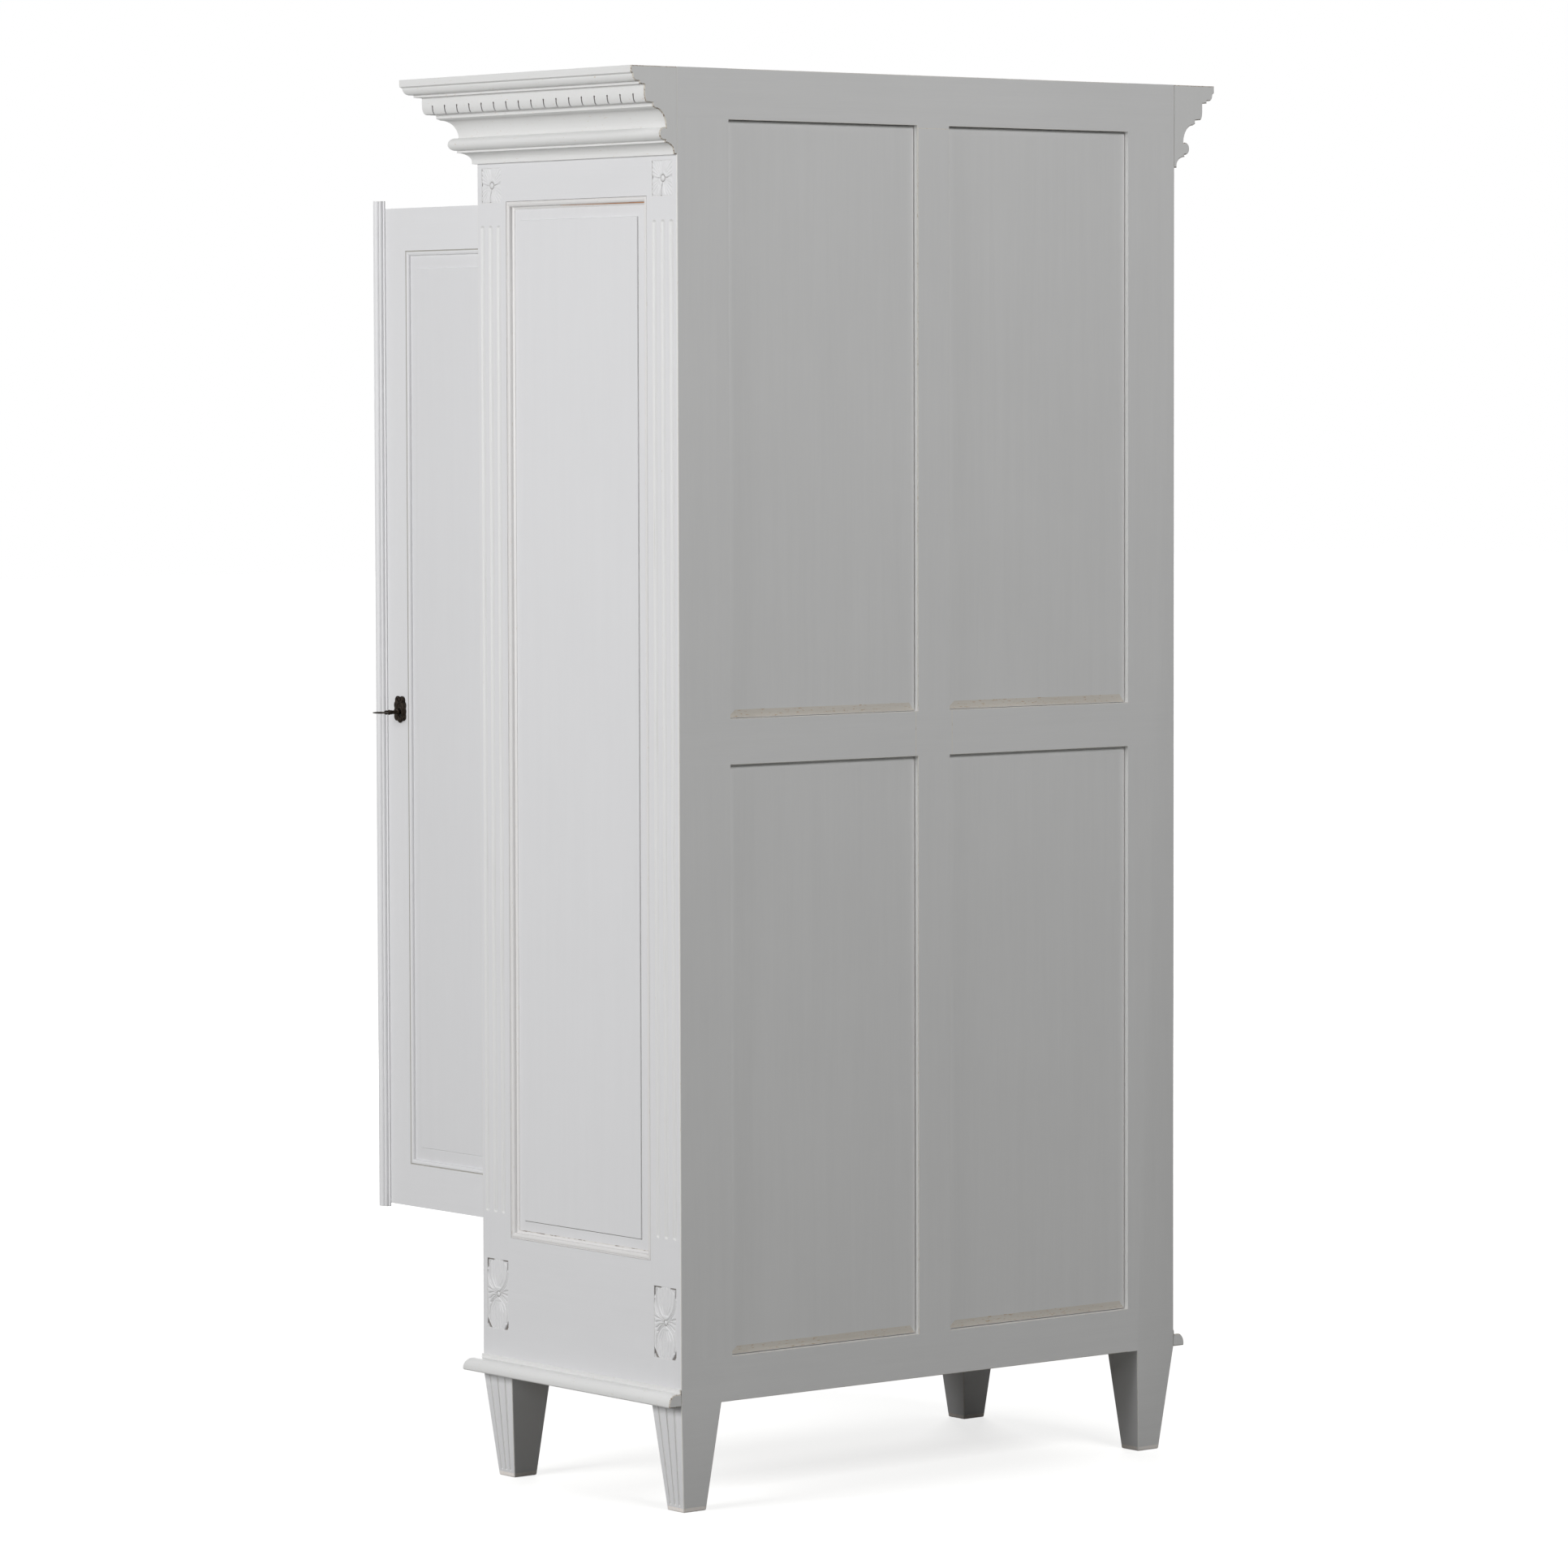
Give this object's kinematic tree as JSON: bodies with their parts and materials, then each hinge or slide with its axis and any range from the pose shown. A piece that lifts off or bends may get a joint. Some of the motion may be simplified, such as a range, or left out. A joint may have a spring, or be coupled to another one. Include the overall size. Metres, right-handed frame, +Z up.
{
  "type": "wardrobe",
  "caption": "Painted wardrobe with a pair of hinged doors, dentilled cornice, fluted posts with carved blocks, panelled ends and back, tapered feet, shelf and hanging rod.",
  "frame": {"origin": "on the floor, at the middle of the floor area the wardrobe covers with its right-hand door open at a right angle", "axes": "+Z up, +X to the right seen from the front, the front faces -Y and the back +Y"},
  "size_m": [1.05, 0.8246, 1.95],
  "materials": {
    "off_white_paint": "satin off-white furniture paint on wood",
    "cream_worn_paint": "satin off-white paint, worn to cream on the edges",
    "grey_back_paint": "brushed grey-white paint on wood",
    "bare_pine": "oiled pine",
    "beech_rod": "turned beech",
    "dark_iron": "blackened cast iron",
    "aged_brass": "aged brass",
    "dull_steel": "dull steel"
  },
  "bodies": {
    "case": {"back_muntin_lower": "grey_back_paint", "back_muntin_upper": "grey_back_paint", "back_panel_lower_left": "grey_back_paint", "back_panel_lower_right": "grey_back_paint", "back_panel_upper_left": "grey_back_paint", "back_panel_upper_right": "grey_back_paint", "back_rail_bottom": "grey_back_paint", "back_rail_middle": "grey_back_paint", "back_rail_top": "grey_back_paint", "base_moulding_front": "cream_worn_paint", "base_moulding_left": "cream_worn_paint", "base_moulding_right": "cream_worn_paint", "cornice_front": "cream_worn_paint", "cornice_left": "cream_worn_paint", "cornice_right": "cream_worn_paint", "end_moulding_left": "cream_worn_paint", "end_moulding_right": "cream_worn_paint", "end_panel_left": "off_white_paint", "end_panel_right": "off_white_paint", "end_rail_bottom_left": "off_white_paint", "end_rail_bottom_right": "off_white_paint", "end_rail_top_left": "off_white_paint", "end_rail_top_right": "off_white_paint", "floor_board": "bare_pine", "front_rail_bottom": "off_white_paint", "front_rail_top": "off_white_paint", "hanging_rod": "beech_rod", "hat_shelf": "bare_pine", "hinge_post_leaf_left_1": "dull_steel", "hinge_post_leaf_left_2": "dull_steel", "hinge_post_leaf_right_1": "dull_steel", "hinge_post_leaf_right_2": "dull_steel", "post_back_left": "off_white_paint", "post_back_right": "off_white_paint", "post_front_left": "off_white_paint", "post_front_right": "off_white_paint", "rod_socket_left": "aged_brass", "rod_socket_right": "aged_brass", "roof_board": "bare_pine", "shelf_batten_left": "bare_pine", "shelf_batten_right": "bare_pine"},
    "right_door": {"door_frame_right": "off_white_paint", "door_panel_right": "off_white_paint", "hinge_door_leaf_right_1": "dull_steel", "hinge_door_leaf_right_2": "dull_steel", "astragal": "off_white_paint", "escutcheon": "dark_iron", "lock_case": "dark_iron"},
    "left_door": {"door_frame_left": "off_white_paint", "door_panel_left": "off_white_paint", "hinge_door_leaf_left_1": "dull_steel", "hinge_door_leaf_left_2": "dull_steel", "lock_keeper": "dark_iron", "top_bolt_plate": "dark_iron", "bottom_bolt_plate": "dark_iron"},
    "door_key": {"key": "dark_iron"},
    "latch_bolt": {"lock_bolt": "aged_brass"},
    "upper_bolt": {"top_bolt_slide": "dull_steel"},
    "lower_bolt": {"bottom_bolt_slide": "dull_steel"}
  },
  "joints": [
    {"name": "right_door_hinge", "type": "hinge", "parent": "case", "child": "right_door", "pos_m": [0.3585, -0.04325, 1.062], "axis": [0, 0, 1], "range_deg": [-90, 80]},
    {"name": "left_door_hinge", "type": "hinge", "parent": "case", "child": "left_door", "pos_m": [-0.3585, -0.04325, 1.062], "axis": [0, 0, -1], "range_deg": [0, 170]},
    {"name": "key_turn", "type": "hinge", "parent": "right_door", "child": "door_key", "pos_m": [0.3585, -0.36025, 1.0575], "axis": [1, 0, 0], "range_deg": [0, 180]},
    {"name": "lock_bolt_throw", "type": "slide", "parent": "right_door", "child": "latch_bolt", "axis": [0, -1, 0], "range_m": [0, 0.012]},
    {"name": "top_bolt_travel", "type": "slide", "parent": "left_door", "child": "upper_bolt", "axis": [0, 0, 1], "range_m": [0, 0.014]},
    {"name": "bottom_bolt_travel", "type": "slide", "parent": "left_door", "child": "lower_bolt", "axis": [0, 0, -1], "range_m": [0, 0.014]}
  ],
  "couplings": [
    {"joint": "key_turn", "follows": "lock_bolt_throw", "rad_per_m": 261.79}
  ]
}
